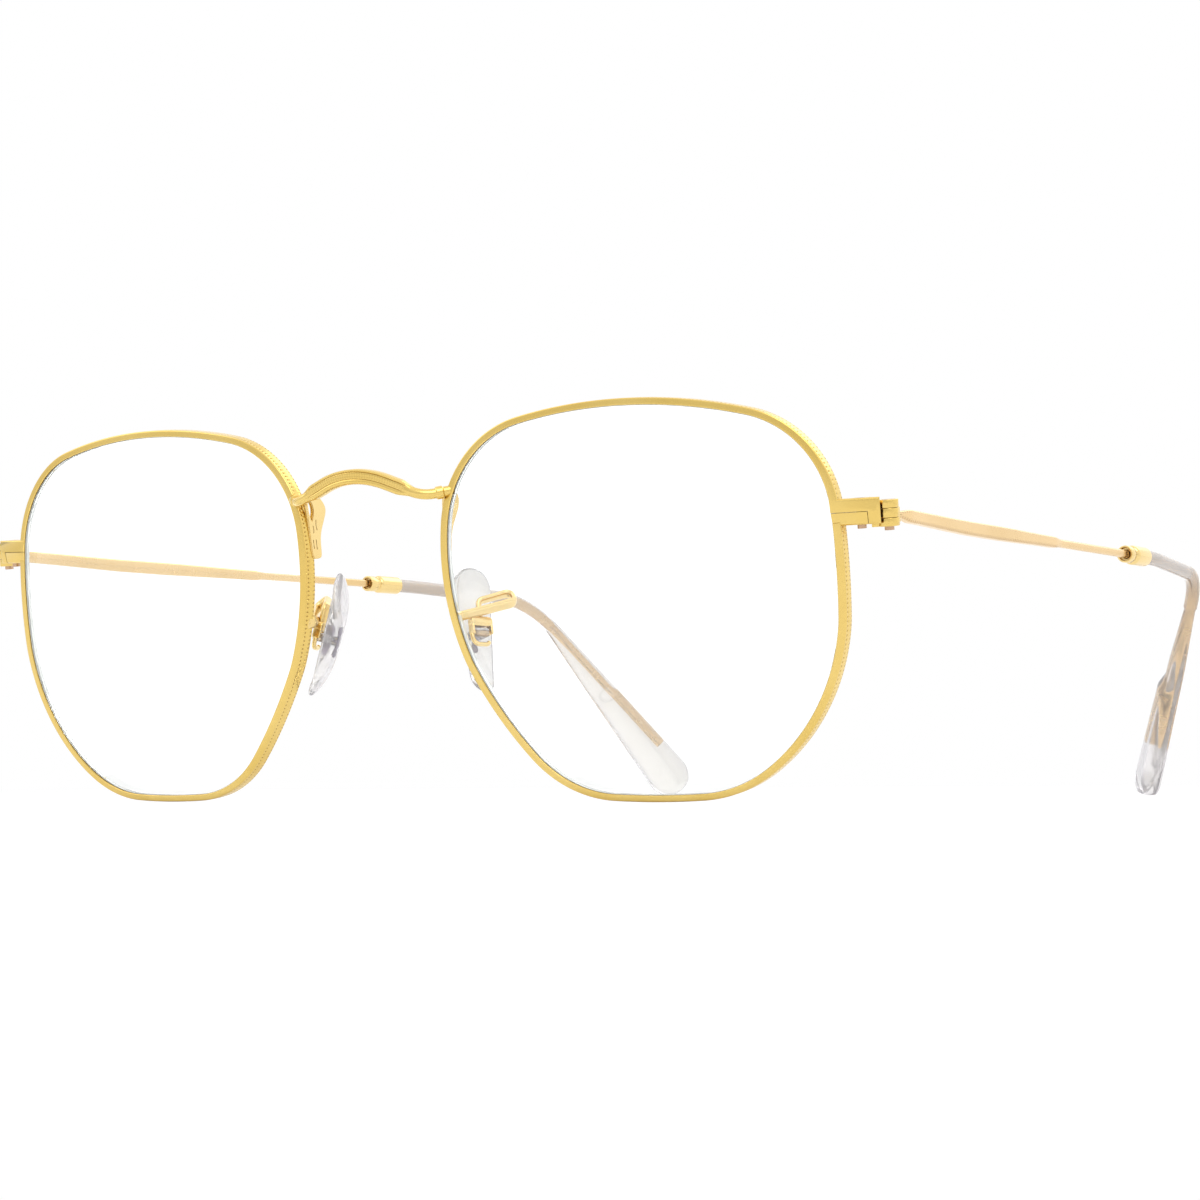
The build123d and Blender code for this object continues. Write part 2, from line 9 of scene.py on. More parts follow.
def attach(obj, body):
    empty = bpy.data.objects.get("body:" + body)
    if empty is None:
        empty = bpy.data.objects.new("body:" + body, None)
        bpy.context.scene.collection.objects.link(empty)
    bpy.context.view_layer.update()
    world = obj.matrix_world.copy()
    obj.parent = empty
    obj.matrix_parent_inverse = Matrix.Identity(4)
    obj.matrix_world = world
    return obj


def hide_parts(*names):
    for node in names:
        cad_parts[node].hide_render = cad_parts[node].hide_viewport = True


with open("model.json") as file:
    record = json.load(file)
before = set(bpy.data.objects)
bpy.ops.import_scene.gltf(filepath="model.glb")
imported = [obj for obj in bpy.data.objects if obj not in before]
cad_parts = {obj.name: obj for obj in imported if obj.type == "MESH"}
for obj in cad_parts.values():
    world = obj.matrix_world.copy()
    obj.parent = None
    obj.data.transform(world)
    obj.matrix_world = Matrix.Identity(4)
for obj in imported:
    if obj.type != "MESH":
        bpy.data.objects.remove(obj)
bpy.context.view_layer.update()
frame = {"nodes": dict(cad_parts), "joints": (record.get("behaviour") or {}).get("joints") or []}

# Hexagonal eyeglasses. Sizes are millimetres in the front's own frame: the origin lies midway
# between the lens centres, +X is the wearer's left, +Y runs to the ears and +Z up the lenses.
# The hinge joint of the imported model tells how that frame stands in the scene.

# Hinges and end pieces
hinge_out = 4.45
hinge_back = 7.9
hinge_height = 8.5
end_piece_lift = 0.4
end_piece_height = 3.0

# Lenses. Their edge is ground: a thin line at each face and a frosted wall between
lens_width = 51.0
lens_height = 46.1
bridge_width = 21.3
base_radius = 169.0
face_form = 6.3
lens_setback = 0.2
lens_thickness = 1.8
bevel_clearance = 0.04
edge_line = 0.06
wall_frost = 0.7
lens_rings = 400
lens_radial_shares = (0.002, 0.15, 0.3, 0.45, 0.6, 0.75, 0.88, 0.96)

# Rims
rim_wall = 0.795
rim_depth = 1.6
rim_swell = 0.15
rim_end_seat = 0.3
groove_depth = 0.5
groove_back = 0.4
groove_width = 0.7
milling_pitch = 0.5
milling_steps = 8
pit_depth = 0.07
pit_length_share = 0.45
travel_step = 0.01
# Corners as shares of the opening's half width and half height, then how far each side bows
# out as a share of its length, and each corner's radius as a share of the sides beside it
corner_shares = [
    (0.99, -0.15), (0.94, 0.79), (-0.89, 0.85), (-0.90, -0.28), (-0.42, -0.97), (0.39, -0.99),
]
bulge_shares = [0.033, 0.090, 0.103, 0.047, 0.023, 0.139]
corner_radius_shares = [0.71, 0.39, 0.37, 0.61, 0.72, 0.72]
# Section of the rim from the opening's edge round the front, the pitted outside and the back:
# share of the wall outwards, share of the depth backwards, share of a pit's depth and of its
# painted shade
rim_section_shares = [
    (0.00, 0.08, 0), (0.02, 0.03, 0), (0.07, 0.006, 0), (0.17, 0.0, 0), (0.50, 0.0, 0),
    (0.80, 0.0, 0), (0.92, 0.010, 0), (0.98, 0.040, 0), (1.0, 0.08, 0), (1.0, 0.19, 0),
    (1.0, 0.22, 0.8), (1.0, 0.265, 1), (1.0, 0.31, 0.8), (1.0, 0.34, 0), (1.0, 0.60, 0),
    (1.0, 0.84, 0), (1.0, 0.87, 0.8), (1.0, 0.91, 1), (1.0, 0.95, 0.8), (0.98, 0.975, 0),
    (0.86, 1.0, 0), (0.76, 1.0, 0), (0.17, 1.0, 0), (0.07, 0.994, 0), (0.0, 0.95, 0),
    (0.0, 0.72, 0), (0.62, 0.71, 0), (0.62, 0.25, 0), (0.0, 0.24, 0),
]

# Bridge
bridge_height = 14.1
bridge_wire = 1.25
bridge_shoulder_out = 9.3
bridge_shoulder_front = 2.2
bridge_shoulder_drop = 0.5
bridge_peak_front = 3.3
bridge_peak_rise = 3.2
bridge_shoulder_radius = 3.5
bridge_peak_radius = 12.0
bridge_band_height = 1.85
bridge_band_thickness = 1.15
bridge_band_reach = 8.1
bridge_band_taper = 2.0
bridge_collar_place = 1.8
# Collar from end to end: place along it and radius
bridge_collar_rows = [(-0.5, 0.624), (-0.35, 0.78), (0.35, 0.78), (0.5, 0.624)]
collar_round = 40
# Front of the band from its top edge down: share of the half thickness forwards, share of the
# half height upwards, share of a bead's height and of the painted shade beside it, share of
# painted shade along an engraved line
band_section_shares = [
    (-0.60, 1.00, 0, 0), (0.30, 1.00, 0, 0), (0.90, 0.97, 0, 0), (1.12, 0.88, 0, 0),
    (1.12, 0.74, 0, 0), (0.98, 0.66, 0, 0.2), (0.94, 0.62, 0, 1), (0.98, 0.57, 0, 0.2),
    (1.02, 0.50, 0.5, 0), (1.02, 0.38, 1, 0), (1.02, 0.26, 0.5, 0), (1.02, 0.10, 0.5, 0),
    (1.02, -0.02, 1, 0), (1.02, -0.14, 0.5, 0), (0.98, -0.22, 0, 0.2), (0.94, -0.27, 0, 1),
    (0.98, -0.32, 0, 0.2), (1.12, -0.42, 0, 0), (1.18, -0.60, 0, 0), (1.10, -0.82, 0, 0),
    (0.80, -0.96, 0, 0), (0.30, -1.00, 0, 0), (-0.60, -1.00, 0, 0), (-1.00, -0.55, 0, 0),
    (-1.00, 0.55, 0, 0),
]
band_bead_height = 0.04
band_dot_share = 0.4
band_pitch = 0.35
band_step = 0.07

# Feet: outline and slot as points of place backwards and height, then the distance of the plate
# from the middle by height, and the engraved lines as place, foot, top and bow
foot_outline = [
    (0.5, 6.6), (1.4, 6.55), (2.2, 6.6), (2.25, 7.6), (2.3, 8.7), (2.65, 9.8), (3.4, 11.0),
    (4.0, 12.1), (3.9, 13.0), (3.2, 13.9), (2.3, 14.3), (1.4, 14.4), (0.5, 14.2), (0.5, 12.5),
    (0.5, 9.5),
]
foot_hole = [
    (0.6, 12.3), (0.8, 11.6), (1.1, 10.8), (1.45, 11.6), (1.7, 12.5), (1.6, 13.4), (1.1, 13.7),
    (0.65, 13.2),
]
foot_outs = [(6.5, 10.12), (12.0, 10.35), (14.4, 10.6)]
foot_lines = [
    (0.9, 7.7, 8.9, 0.0), (1.45, 7.6, 8.9, 0.0), (1.15, 9.6, 10.6, 0.12), (1.9, 9.9, 11.3, -0.15),
]
foot_line_width = 0.1
foot_thickness = 0.3
foot_face_thickness = 0.16
foot_bevel = 0.06
foot_face_bevel = 0.02

# Temples
arm_inward = 4.2
arm_droop = 8.05
arm_offset_down = 0.35
arm_start = 2.2
arm_thickness = 1.15
wire_radius = 0.53
# Heights of the bar and lifts of its middle, by place along it
arm_heights = [(2.2, 0.75), (5.5, 1.48), (28.0, 1.65), (47.0, 1.35)]
arm_lifts = [(2.2, 0.3), (24.0, 0.0)]
arm_flat_end = 47.0
arm_neck = 2.5
arm_bead_height = 0.06
arm_root_share = 0.62
arm_inner_inset = 0.16
arm_inner_drop = 0.2
# Outer half of the temple's section from its top to the middle: inset from the outer face,
# drop from the top edge, share of a bead's height and of the painted shade between beads
arm_section = [
    (0.575, 0.0, 0), (0.32, 0.0, 0), (0.24, 0.01, 0), (0.19, 0.06, 0.8), (0.13, 0.15, 1),
    (0.07, 0.24, 0.8), (0.0, 0.34, 0), (0.0, 0.42, 0),
]
ferrule_start = 71.2
ferrule_length = 6.8
ferrule_end = ferrule_start + ferrule_length
bend_in = 2.7
bend_back = 105.1
bend_down = 1.0
bend_radius = 13.0
ferrule_bend_radius = 40.0
wire_step = 0.3
tip_end_in = 18.95
tip_end_back = 125.7
tip_end_down = 28.2
tip_radius = 0.95
tip_lead = 3.5
tip_blunt = 0.01
tip_step = 0.25
tip_round = 64
tip_power = 2.0
paddle_start = 5.5
paddle_neck_radius = 1.0
paddle_shift = 2.1
paddle_radius = 3.18
paddle_turn = 152.4
paddle_edge_reach = 3.4
paddle_power = 3.2
paddle_steps = 60
cheek_start = 17.8
cheek_step = 2.2
cheek_thickness = 1.8
core_short = 7.5
# Painted shade on the wire inside the tip
core_shade = 0.12
core_shade_length = 34.0
tip_frost = 0.55
tip_frost_end = 22.0
core_flat_length = 13.0
core_flat_taper = 9.75
core_flat_width = 1.1
core_flat_thickness = 1.4

# Nose pads
pad_out = 10.47
pad_back = 4.58
pad_drop = 3.37
pad_splay = 19.5
pad_lean = 16.6
pad_turn = -9.5
pad_length = 15.5
pad_top_radius = 2.75
pad_bottom_radius = 1.8
pad_thickness = 1.3
pad_curve = 22.0
pad_edge_power = 3.2
pad_face_power = 2.2
pad_rows = 14
pad_round = 72
stem_height = 1.1
stem_width = 1.9
stem_drop = 0.5
# Stem from the cushion outwards: distance, share of its width and height
stem_rows = [(0.3, 1.0), (0.8, 1.0), (2.4, 1.0), (2.65, 0.85), (2.75, 0.6)]
stem_power = 5.0
stem_round = 32
core_top = 1.3
core_bottom = 2.5
core_half_width = 0.5
core_waist = 0.2
core_waist_reach = 0.4
core_half_thickness = 0.2
core_rounding = 0.4
core_power = 3.0
pin_depth = 2.15
pad_pin_radius = 0.28
pad_pin_rounding = 0.05
pad_pin_step = 0.2
box_wall = 0.35
box_gap = 0.15
box_depth = 1.0
box_height = 1.2
bar_power = 4.0
bar_rounding = 0.12
bar_step = 0.05
claw_radius = 0.28
claw_drop = 1.9
claw_bend = 0.84
claw_step = 0.08
ribbon_height = 1.35
ribbon_thickness = 0.68
ribbon_knee_radius = 0.7
ribbon_loop_radius = 0.78
ribbon_loop = 1.85
ribbon_root_raise = 0.3
ribbon_far_lower = 0.45
ribbon_far_out = 15.2
ribbon_far_back = 7.55
ribbon_root_bite = 0.1
ribbon_root_back = 1.5
ribbon_lift = 3.4
ribbon_power = 2.3
ribbon_rounding = 0.2
ribbon_step = 0.12
ribbon_narrowing = 0.15
ribbon_narrowing_start = 9.0
ribbon_narrowing_length = 4.0
ribbon_foot_length = 1.7
ribbon_foot_height = 1.8
ribbon_foot_thickness = 0.8
ribbon_foot_inset = 0.16
ribbon_foot_power = 2.4
ribbon_foot_rounding = 0.4
plate_step = 0.1

lens_centre_out = (lens_width + bridge_width) / 2
hinge_x = lens_centre_out + lens_width / 2 + hinge_out
millimetre = 0.001

joints = {joint["name"]: joint for joint in frame["joints"]}
hinge_joint = joints["temple_left_fold"]
lean = atan2(-hinge_joint["axis"][1], hinge_joint["axis"][2])
upright = Matrix.Rotation(lean, 4, "X") @ Matrix.Scale(millimetre, 4)
foothold = Vector(hinge_joint["pos_m"]) - upright @ Vector((hinge_x, hinge_back, hinge_height))
stand = Matrix.Translation(foothold) @ upright


# Camera, as solved from the photograph in the front's own frame

camera_place = Vector((271.99, -360.59, 27.2))
camera_turn = radians(33.67)
camera_rise = radians(3.54)
camera_roll = radians(-4.33)
camera_focal_pixels = 3762.0
image_width = 1200.0
sensor_width = 36.0


def add_camera():
    level = Vector((cos(camera_turn), sin(camera_turn), 0))
    away = Vector((level.y, -level.x, 0))
    back = away * cos(camera_rise) + Vector((0, 0, sin(camera_rise)))
    above = back.cross(level)
    right = level * cos(camera_roll) + above * sin(camera_roll)
    up = above * cos(camera_roll) - level * sin(camera_roll)
    turn = Matrix((right, up, back)).transposed().to_4x4()
    data = bpy.data.cameras.new("camera")
    data.sensor_fit = "HORIZONTAL"
    data.sensor_width = sensor_width
    data.lens = camera_focal_pixels / image_width * sensor_width
    data.clip_start = millimetre
    camera = bpy.data.objects.new("camera", data)
    bpy.context.scene.collection.objects.link(camera)
    place = Matrix.Translation(stand @ camera_place)
    camera.matrix_world = place @ Matrix.Rotation(lean, 4, "X") @ turn
    bpy.context.scene.camera = camera


add_camera()


# Materials

plate_scale = 90.0
plate_polish_scale = 700.0
grain_scale = 2500.0
grain_height = 0.02
plastic_scale = 120.0
plastic_polish_scale = 400.0
edge_blend = 0.45
ramp_start = 0.3
ramp_end = 0.7
# Painted shade: metal is darkened in crevices found by ambient occlusion
crevice_samples = 8
crevice_reach = 0.5
crevice_open = 0.75
crevice_depth = 0.9


def set_inputs(tree, node, inputs):
    """Inputs by name or place, each set to a value or linked to another node's output."""
    for name, value in inputs.items():
        if isinstance(value, bpy.types.NodeSocket):
            tree.links.new(value, node.inputs[name])
        else:
            node.inputs[name].default_value = value
    return node


def add_node(tree, kind, inputs):
    return set_inputs(tree, tree.nodes.new(kind), inputs)


def new_material(name):
    material = bpy.data.materials.new(name)
    material.use_nodes = True
    tree = material.node_tree
    return material, tree, tree.nodes["Principled BSDF"]


def noise(tree, scale, detail=3.0):
    place = tree.nodes.new("ShaderNodeTexCoord").outputs["Object"]
    inputs = {"Scale": scale, "Detail": detail, "Vector": place}
    return add_node(tree, "ShaderNodeTexNoise", inputs).outputs["Fac"]


def ramp(tree, source, low, high):
    node = add_node(tree, "ShaderNodeValToRGB", {"Fac": source})
    ends = zip(node.color_ramp.elements, (ramp_start, ramp_end), (low, high))
    for element, position, colour in ends:
        element.position = position
        element.color = (*colour, 1.0)
    return node.outputs["Color"]


def spread(tree, source, low, high, start=0.0, end=1.0):
    """Value carried over from the range between start and end to that between low and high."""
    inputs = {"Value": source, "From Min": start, "From Max": end, "To Min": low, "To Max": high}
    return add_node(tree, "ShaderNodeMapRange", inputs).outputs["Result"]


def mixed(tree, share, plain, full):
    """Colour that goes from a plain one to a full one by a share."""
    node = tree.nodes.new("ShaderNodeMix")
    node.data_type = "RGBA"
    return set_inputs(tree, node, {0: share, 6: plain, 7: (*full, 1.0)}).outputs[2]


def blended(tree, share, first, second):
    return add_node(tree, "ShaderNodeMixShader", {0: share, 1: first, 2: second}).outputs[0]


def shade_and_frost_share(tree):
    node = tree.nodes.new("ShaderNodeAttribute")
    node.attribute_name = "recess"
    return node.outputs["Fac"]


def crevice_shade_share(tree):
    """Share of painted shade that grows where other faces stand close by."""
    reach = crevice_reach * millimetre
    node = add_node(tree, "ShaderNodeAmbientOcclusion", {"Distance": reach})
    node.samples = crevice_samples
    return spread(tree, node.outputs["AO"], 0.0, crevice_depth, crevice_open, 0.0)


def gold(name, low, high, dark, roughness, grain):
    """Satin plate whose colour and polish drift a little, with painted shade in its crevices,
    grooves and pits.
    """
    material, tree, shader = new_material(name)
    plate = ramp(tree, noise(tree, plate_scale), low, high)
    # Painted shade: a darker colour in crevices, grooves, pits and on the wire inside the tip
    for share in (crevice_shade_share(tree), shade_and_frost_share(tree)):
        plate = mixed(tree, share, plate, dark)
    polish = noise(tree, plate_polish_scale, detail=4.0)
    bump = add_node(tree, "ShaderNodeBump", {
        "Strength": grain, "Distance": grain_height * millimetre,
        "Height": noise(tree, grain_scale, detail=2.0)})
    set_inputs(tree, shader, {
        "Metallic": 1.0, "Base Color": plate, "Roughness": spread(tree, polish, *roughness),
        "Normal": bump.outputs["Normal"]})
    return material


def clear(name, low, high, painted_edge_shade, frosted, index, milk, frost_milk, roughness):
    """Clear plastic with some milk in it and painted shade along its edges where they turn from
    view, whose colour and milk change where it is ground.
    """
    material, tree, shader = new_material(name)
    tint = ramp(tree, noise(tree, plastic_scale), low, high)
    # Painted shade along the edges where they turn from view
    facing = add_node(tree, "ShaderNodeLayerWeight", {"Blend": edge_blend})
    tint = mixed(tree, facing.outputs["Facing"], tint, painted_edge_shade)
    clearness = spread(tree, shade_and_frost_share(tree), 1.0 - milk, 1.0 - frost_milk)
    set_inputs(tree, shader, {
        "Base Color": mixed(tree, shade_and_frost_share(tree), tint, frosted),
        "Transmission Weight": clearness, "IOR": index,
        "Roughness": spread(tree, noise(tree, plastic_polish_scale), *roughness)})
    shadow = tree.nodes.new("ShaderNodeLightPath").outputs["Is Shadow Ray"]
    through = tree.nodes.new("ShaderNodeBsdfTransparent").outputs["BSDF"]
    shade = blended(tree, shadow, shader.outputs["BSDF"], through)
    tree.links.new(shade, tree.nodes["Material Output"].inputs["Surface"])
    return material


front_gold = gold(
    "front_gold", low=(0.72, 0.505, 0.14), high=(0.78, 0.575, 0.195), dark=(0.28, 0.15, 0.03),
    roughness=(0.18, 0.30), grain=0.06)
pale_gold = gold(
    "pale_gold", low=(0.78, 0.58, 0.24), high=(0.85, 0.65, 0.31), dark=(0.38, 0.22, 0.08),
    roughness=(0.18, 0.28), grain=0.06)
temple_gold = gold(
    "temple_gold", low=(0.72, 0.51, 0.245), high=(0.785, 0.57, 0.30), dark=(0.42, 0.27, 0.16),
    roughness=(0.20, 0.32), grain=0.06)
screw_metal = gold(
    "screw_metal", low=(0.42, 0.27, 0.16), high=(0.58, 0.39, 0.26), dark=(0.2, 0.12, 0.08),
    roughness=(0.25, 0.40), grain=0.2)
core_metal = gold(
    "core_metal", low=(0.20, 0.17, 0.24), high=(0.34, 0.30, 0.38), dark=(0.1, 0.1, 0.12),
    roughness=(0.25, 0.40), grain=0.2)
lens_clear = clear(
    "lens_clear", low=(0.985, 0.995, 0.99), high=(1.0, 1.0, 1.0), painted_edge_shade=(0.97, 0.99, 0.98),
    frosted=(0.80, 0.86, 0.82), index=1.5, milk=0.0, frost_milk=0.9, roughness=(0.0, 0.004))
pad_clear = clear(
    "pad_clear", low=(0.93, 0.92, 0.90), high=(0.965, 0.955, 0.94), painted_edge_shade=(0.62, 0.60, 0.66),
    frosted=(0.6, 0.6, 0.65), index=1.40, milk=0.25, frost_milk=0.25, roughness=(0.06, 0.12))
tip_clear = clear(
    "tip_clear", low=(0.89, 0.865, 0.83), high=(0.94, 0.92, 0.89), painted_edge_shade=(0.56, 0.55, 0.63),
    frosted=(0.98, 0.93, 0.87), index=1.45, milk=0.25, frost_milk=0.95, roughness=(0.05, 0.10))

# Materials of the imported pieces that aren't of the front's gold
cad_materials = {
    "lens": lens_clear, "rim_screw": screw_metal, "hinge_screw": screw_metal,
    "bridge_foot": pale_gold, "pad_arm": pale_gold, "nose_pad": pad_clear, "pad_core": core_metal,
    "temple_hinge": temple_gold, "temple_arm": temple_gold, "ferrule": temple_gold,
    "temple_tip": tip_clear,
}
for node, shape in frame["nodes"].items():
    kind = node.removesuffix("_left").removesuffix("_right")
    shape.data.materials.clear()
    shape.data.materials.append(cad_materials.get(kind, front_gold))


# Frames of the left side's lens, pad and temple

lens_frame = (
    Matrix.Translation((lens_centre_out, 0, 0))
    @ Matrix.Rotation(radians(face_form), 4, "Z")
)
arm_frame = (
    Matrix.Translation((hinge_x, hinge_back, hinge_height - arm_offset_down))
    @ Matrix.Rotation(radians(arm_inward), 4, "Z")
    @ Matrix.Rotation(radians(-arm_droop), 4, "X")
)
pad_away = Vector((cos(radians(pad_splay)), -sin(radians(pad_splay)), 0))
pad_across = Vector((sin(radians(pad_splay)), cos(radians(pad_splay)), 0))
pad_frame = (
    Matrix.Translation((pad_out, pad_back, -pad_drop))
    @ Matrix((pad_across, pad_away.cross(pad_across), pad_away)).transposed().to_4x4()
    @ Matrix.Rotation(radians(-pad_lean), 4, "X")
    @ Matrix.Rotation(radians(pad_turn), 4, "Z")
)


# Meshes

softened_edge = 0.06
block_edge = 0.03
softened_segments = 2
softened_angle = 35.0
flat_angle = 1.0
weld_distance = 0.0005
sharp_angle = 40.0
lens_sharp_angle = 30.0
plastic_sharp_angle = 60.0
circle_power = 2.0
bar_round = 24
end_start_share = 0.05


def rounded_square(power, count):
    """Points round a square of half side 1 with rounded corners, which is a circle at power 2."""
    points = []
    for step in range(count):
        x, y = cos(2 * pi * step / count), sin(2 * pi * step / count)
        reach = (abs(x) ** power + abs(y) ** power) ** (-1 / power)
        points.append((x * reach, y * reach))
    return points


def skin(rings, around=False):
    """Quads from ring to ring, closed into a loop or capped at both ends. A point's fourth value,
    where it has one, sets its painted shade on metal and its frost on clear plastic."""
    count = len(rings[0])
    points = [point for ring in rings for point in ring]
    faces = []
    for row in range(len(rings) if around else len(rings) - 1):
        low, high = row * count, (row + 1) % len(rings) * count
        for place in range(count):
            beside = (place + 1) % count
            faces.append((low + place, low + beside, high + beside, high + place))
    if not around:
        faces.append(tuple(range(count - 1, -1, -1)))
        faces.append(tuple(range((len(rings) - 1) * count, len(rings) * count)))
    return points, faces


def joined(*shapes):
    points, faces = [], []
    for more_points, more_faces in shapes:
        faces += [tuple(index + len(points) for index in face) for face in more_faces]
        points += more_points
    return points, faces


def finish_mesh(name, mesh, material, body, nodes):
    shape = bpy.data.objects.new(name, mesh)
    bpy.context.scene.collection.objects.link(shape)
    mesh.materials.clear()
    mesh.materials.append(material)
    for face in mesh.polygons:
        face.use_smooth = True
    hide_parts(*nodes)
    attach(shape, body)
    return shape


def add_piece(name, shape, material, body, nodes, side=1, sharp=sharp_angle):
    """Piece of the left half in the front's frame, or its mirror image where side is -1."""
    points, faces = shape
    mesh = bpy.data.meshes.new(name)
    placed = [stand @ Vector((side * point[0], point[1], point[2])) for point in points]
    mesh.from_pydata(placed, [], faces)
    # Painted shade on metal and frost on clear plastic, point by point
    recess = mesh.attributes.new("recess", "FLOAT", "POINT")
    recess.data.foreach_set("value", [point[3] if len(point) > 3 else 0.0 for point in points])
    work = bmesh.new()
    work.from_mesh(mesh)
    bmesh.ops.recalc_face_normals(work, faces=work.faces)
    work.to_mesh(mesh)
    work.free()
    mesh.set_sharp_from_angle(angle=radians(sharp))
    finish_mesh(name, mesh, material, body, nodes)


def add_pair(name, shape, material, body, node, sharp=sharp_angle):
    for word, side in (("_left", 1), ("_right", -1)):
        carrier = body if body == "front" else body + word
        add_piece(name + word, shape, material, carrier, [node + word], side, sharp)


def add_softened(node, material, body, width=softened_edge):
    """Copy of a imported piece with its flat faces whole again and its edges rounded."""
    source = frame["nodes"][node]
    mesh = source.data.copy()
    work = bmesh.new()
    work.from_mesh(mesh)
    bmesh.ops.remove_doubles(work, verts=work.verts, dist=weld_distance * millimetre)
    bmesh.ops.dissolve_limit(
        work, angle_limit=radians(flat_angle), verts=work.verts, edges=work.edges)
    work.to_mesh(mesh)
    work.free()
    shape = finish_mesh(node + "_finish", mesh, material, body, [node])
    bevel = shape.modifiers.new("bevel", "BEVEL")
    bevel.width = width * millimetre
    bevel.segments = softened_segments
    bevel.limit_method = "ANGLE"
    bevel.angle_limit = radians(softened_angle)
    bevel.harden_normals = True


# Outline of the opening: arcs of a bowed hexagon

def side_circle(start, end, bulge_share):
    chord = end - start
    bulge = bulge_share * chord.length
    radius = chord.length ** 2 / (8 * bulge) + bulge / 2
    inward = Vector((-chord.y, chord.x)).normalized()
    return (start + end) / 2 + inward * (radius - bulge), radius


def corner_centre(before, after, radius, corner):
    reach_before = before[1] - radius
    reach_after = after[1] - radius
    between = after[0] - before[0]
    along = (reach_before ** 2 - reach_after ** 2) / (2 * between.length) + between.length / 2
    across = sqrt(reach_before ** 2 - along ** 2)
    forward = between.normalized()
    sideways = Vector((-forward.y, forward.x)) * across
    foot = before[0] + forward * along
    return min((foot + sideways, foot - sideways), key=lambda point: (point - corner).length)


def opening_arcs():
    """Arcs of the opening's edge, each as centre, radius, first angle and turn."""
    half = Vector((lens_width / 2 - groove_depth, lens_height / 2 - groove_depth))
    corners = [Vector((x * half.x, y * half.y)) for x, y in corner_shares]
    ends = corners[1:] + corners[:1]
    sides = [side_circle(*side) for side in zip(corners, ends, bulge_shares)]
    lengths = [(end - corner).length for corner, end in zip(corners, ends)]
    centres, radii = [], []
    for place, share in enumerate(corner_radius_shares):
        radii.append(share * (lengths[place - 1] + lengths[place]) / 2)
        centres.append(corner_centre(sides[place - 1], sides[place], radii[-1], corners[place]))
    circles, joints_between = [], []
    for place, side in enumerate(sides):
        following = centres[(place + 1) % len(sides)]
        circles += [(centres[place], radii[place]), side]
        joints_between += [centres[place] - sides[place - 1][0], centres[place] - side[0]]
    arcs = []
    for place, (centre, radius) in enumerate(circles):
        first, last = joints_between[place], joints_between[(place + 1) % len(circles)]
        start = atan2(first.y, first.x)
        turn = (atan2(last.y, last.x) - start) % (2 * pi)
        arcs.append((centre, radius, start, turn))
    return arcs


outline_arcs = opening_arcs()
outline_length = sum(radius * turn for _, radius, _, turn in outline_arcs)


def outline_at(travel):
    """Point of the opening's edge and its outward direction, some way on from the first corner."""
    travel %= outline_length
    for centre, radius, start, turn in outline_arcs:
        if travel <= radius * turn:
            break
        travel -= radius * turn
    angle = start + travel / radius
    outward = Vector((cos(angle), sin(angle)))
    return centre + outward * radius, outward


def on_lens(point, depth):
    """Point of the lens plane, set back to a depth behind the front surface's sphere."""
    back = base_radius - sqrt((base_radius - depth) ** 2 - point.x ** 2 - point.y ** 2)
    return lens_frame @ Vector((point.x, back, point.y))


def milling(travel, pitch=milling_pitch):
    """Height share of a row of round beads."""
    across = 2 * (travel / pitch % 1) - 1
    return sqrt(1 - across * across)


def pitted(travel):
    """Depth share of a row of short pits."""
    across = 2 * (travel / milling_pitch % 1) - 1
    return max(0.0, 1 - (across / pit_length_share) ** 2)


def travel_up_to(height):
    """Travel from the first corner up to a height on the temple side."""
    travel = 0.0
    while outline_at(travel)[0].y < height:
        travel += travel_step
    return travel


def rim_shape():
    """Ring that is open where the end piece and its closing block take its place."""
    bar_height = hinge_height + end_piece_lift
    reach = end_piece_height / 2 - rim_end_seat
    start = travel_up_to(bar_height + reach)
    length = outline_length - start + travel_up_to(bar_height - reach)
    count = round(length / milling_pitch) * milling_steps
    rings = []
    for step in range(count + 1):
        travel = length * step / count
        edge, outward = outline_at(start + travel)
        wall = rim_wall + rim_swell * outward.x ** 2
        ring = []
        for out, depth, share in rim_section_shares:
            # Painted shade in the pits
            recess = pitted(travel) * share
            reach = out * wall - pit_depth * recess
            ring.append((*on_lens(edge + outward * reach, depth * rim_depth), recess))
        rings.append(ring)
    return skin(rings)


def lens_shape():
    bevel_front = groove_back + bevel_clearance
    bevel_back = groove_back + groove_width - bevel_clearance
    bevel_out = groove_depth - bevel_clearance
    back = lens_setback + lens_thickness
    wall = -bevel_clearance
    rim_rows = [
        (1, wall - edge_line, lens_setback, 0), (1, wall, lens_setback + edge_line, 1),
        (1, wall, bevel_front - edge_line, wall_frost), (1, wall, bevel_front, wall_frost),
        (1, bevel_out, (bevel_front + bevel_back) / 2, wall_frost),
        (1, wall, bevel_back, wall_frost), (1, wall, back - 2 * edge_line, wall_frost),
        (1, wall, back - edge_line, 1), (1, wall - edge_line, back, 0),
    ]
    rows = [(share, 0, lens_setback, 0) for share in lens_radial_shares] + rim_rows
    rows += [(share, 0, back, 0) for share in reversed(lens_radial_shares)]
    rings = []
    for share, grow, depth, recess in rows:
        ring = []
        for step in range(lens_rings):
            edge, outward = outline_at(outline_length * step / lens_rings)
            ring.append((*on_lens(edge * share + outward * grow, depth), recess))
        rings.append(ring)
    return skin(rings)


def nasal_edge(height):
    """Point of the opening's edge on the nose side at a height, on the front surface."""
    crossings = []
    for step in range(lens_rings):
        edge, outward = outline_at(outline_length * step / lens_rings)
        if outward.x < 0:
            crossings.append((abs(edge.y - height), edge))
    return on_lens(min(crossings, key=lambda crossing: crossing[0])[1], 0)


# Paths: straight runs joined by tangent arcs

